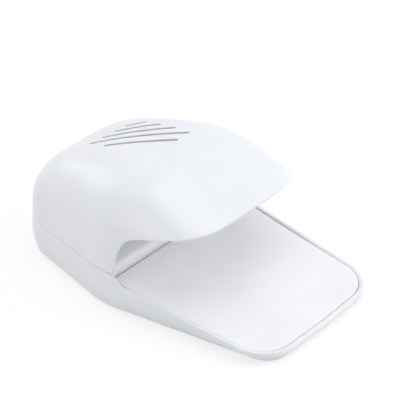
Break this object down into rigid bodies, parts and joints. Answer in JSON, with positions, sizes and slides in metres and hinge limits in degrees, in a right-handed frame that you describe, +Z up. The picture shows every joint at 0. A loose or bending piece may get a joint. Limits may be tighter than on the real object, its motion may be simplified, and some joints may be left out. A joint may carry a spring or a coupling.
{
  "type": "mini nail lamp",
  "caption": "Palm-sized domed nail dryer with a tapered tray, a hinged finger plate that starts a fan and lamps, slanting roof vents and a battery bay in the base.",
  "frame": {"origin": "on the floor under the middle of the footprint, at the underside of the rubber feet", "axes": "+Z up, -Y along the tray towards the fingers, +X to the right of someone who looks from the tray to the hood"},
  "size_m": [0.0884, 0.1422, 0.0565],
  "materials": {
    "shell_white": "satin",
    "plate_white": "satin",
    "cover_white": "satin",
    "black_plastic": "matte",
    "plunger_red": "satin",
    "steel": "satin",
    "contact_nickel": "satin",
    "cell_jacket": "satin",
    "board_green": "matte",
    "led_clear": "gloss",
    "lead_red": "satin",
    "lead_black": "satin",
    "foot_rubber": "matte"
  },
  "bodies": {
    "case": {"upper_hood": "shell_white", "lower_base": "shell_white", "inner_cover": "cover_white", "motor_bracket": "cover_white", "switch_body": "black_plastic", "motor_end_cap": "black_plastic", "led_driver_chip": "black_plastic", "board_resistor_left": "black_plastic", "board_resistor_right": "black_plastic", "plate_hinge_pin_left": "steel", "plate_hinge_pin_right": "steel", "plate_spring_left": "steel", "plate_spring_right": "steel", "fan_motor": "steel", "bracket_screw_left": "steel", "bracket_screw_right": "steel", "board_screw_left": "steel", "board_screw_right": "steel", "case_screw_1": "steel", "case_screw_2": "steel", "case_screw_3": "steel", "case_screw_4": "steel", "cover_screw_left": "steel", "cover_screw_right": "steel", "series_link": "contact_nickel", "positive_terminal": "contact_nickel", "negative_terminal": "contact_nickel", "contact_spring_front": "contact_nickel", "contact_spring_rear": "contact_nickel", "battery_front": "cell_jacket", "battery_rear": "cell_jacket", "led_board": "board_green", "uv_led_1": "led_clear", "uv_led_2": "led_clear", "uv_led_3": "led_clear", "uv_led_4": "led_clear", "lead_cell_to_switch": "lead_red", "lead_switch_to_motor": "lead_red", "lead_cell_to_motor": "lead_black", "rubber_foot_1": "foot_rubber", "rubber_foot_2": "foot_rubber", "rubber_foot_3": "foot_rubber", "rubber_foot_4": "foot_rubber"},
    "plate": {"finger_plate": "plate_white"},
    "plunger": {"switch_plunger": "plunger_red"},
    "fan": {"fan_impeller": "cover_white", "fan_shaft": "steel"},
    "door": {"battery_door": "shell_white"}
  },
  "joints": [
    {"name": "plate_press", "type": "hinge", "parent": "case", "child": "plate", "pos_m": [0, -0.048, 0.0035], "axis": [-1, 0, 0], "range_deg": [0, 1.8], "stiffness_Nm_per_rad": 0.6, "springref_deg": -1.72, "deforming": ["plate_spring_left", "plate_spring_right"]},
    {"name": "switch_push", "type": "slide", "parent": "case", "child": "plunger", "axis": [0, 0, -1], "range_m": [0, 0.0015]},
    {"name": "fan_spin", "type": "hinge", "parent": "case", "child": "fan", "pos_m": [0, 0.00825, 0.0313], "axis": [0, 0.678, 0.735], "continuous": true},
    {"name": "battery_door_swing", "type": "hinge", "parent": "case", "child": "door", "pos_m": [0, 0.0147, 0.002], "axis": [-1, 0, 0], "range_deg": [0, 70]}
  ],
  "couplings": [
    {"joint": "switch_push", "follows": "plate_press", "m_per_rad": 0.045}
  ]
}
